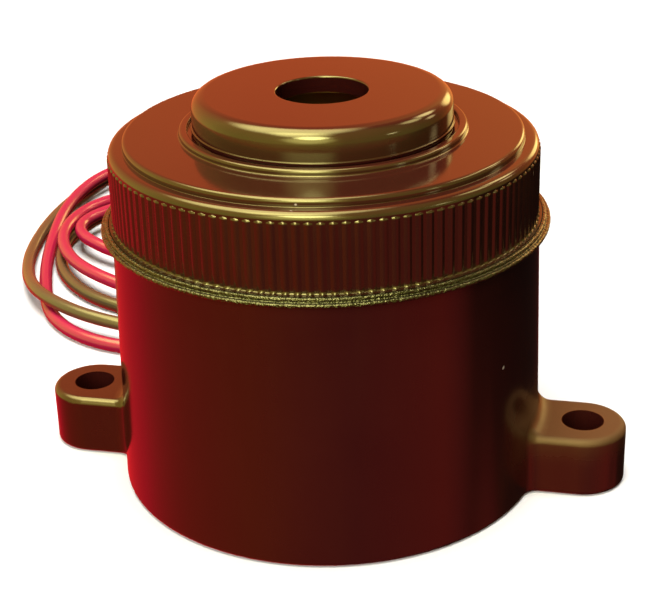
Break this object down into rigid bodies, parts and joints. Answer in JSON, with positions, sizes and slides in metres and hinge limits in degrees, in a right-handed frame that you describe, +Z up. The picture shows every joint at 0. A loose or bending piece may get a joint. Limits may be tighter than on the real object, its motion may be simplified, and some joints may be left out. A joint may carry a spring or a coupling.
{
  "type": "electronic buzzer",
  "caption": "Round electronic buzzer with a ribbed cap, a raised sound hat with a centre hole, mounting ears at the base and loose leads behind.",
  "frame": {"origin": "centre of the housing's base, on the surface it stands on", "axes": "+Z up through the sound hole, X through both ear holes, leads leave towards +Y"},
  "size_m": [0.0609, 0.0783, 0.0285],
  "materials": {
    "housing_plastic": "glossy dark maroon brown moulding",
    "cap_plastic": "glossy dark maroon brown moulding, ribbed band",
    "brass_disc": "rolled brass sheet",
    "ceramic_disc": "fired piezo ceramic",
    "silver_layer": "printed silver",
    "silicone": "soft sealant",
    "board_laminate": "brown laminate",
    "black_moulding": "moulded package",
    "tinned_wire": "tinned",
    "ferrite": "sintered ferrite",
    "copper_winding": "enamelled copper",
    "can_metal": "sleeved can",
    "bung_rubber": "moulded rubber",
    "resistor_lacquer": "beige lacquer",
    "solder": "solder",
    "thin_wire_insulation": "thin insulation",
    "red_insulation": "soft glossy insulation",
    "dark_insulation": "soft glossy insulation"
  },
  "bodies": {
    "root": {"housing": "housing_plastic", "cap": "cap_plastic", "diaphragm_plate": "brass_disc", "piezo_ceramic": "ceramic_disc", "drive_electrode": "silver_layer", "feedback_electrode": "silver_layer", "disc_seal_ring": "silicone", "circuit_board": "board_laminate", "transistor_body": "black_moulding", "transistor_legs": "tinned_wire", "coil_core": "ferrite", "coil_winding": "copper_winding", "coil_legs": "tinned_wire", "capacitor_can": "can_metal", "capacitor_bung": "bung_rubber", "capacitor_legs": "tinned_wire", "base_resistor": "resistor_lacquer", "base_resistor_leads": "tinned_wire", "bias_resistor": "resistor_lacquer", "bias_resistor_leads": "tinned_wire", "load_resistor": "resistor_lacquer", "load_resistor_leads": "tinned_wire", "diode_body": "black_moulding", "diode_leads": "tinned_wire", "board_solder_joints": "solder", "lead_solder_joints": "solder", "disc_solder_joints": "solder", "plate_wire": "thin_wire_insulation", "drive_wire": "thin_wire_insulation", "feedback_wire": "thin_wire_insulation", "lead_seal": "silicone", "red_lead": "red_insulation", "red_lead_tip": "tinned_wire", "red_lead_core": "tinned_wire", "dark_lead": "dark_insulation", "dark_lead_tip": "tinned_wire", "dark_lead_core": "tinned_wire"}
  },
  "joints": []
}
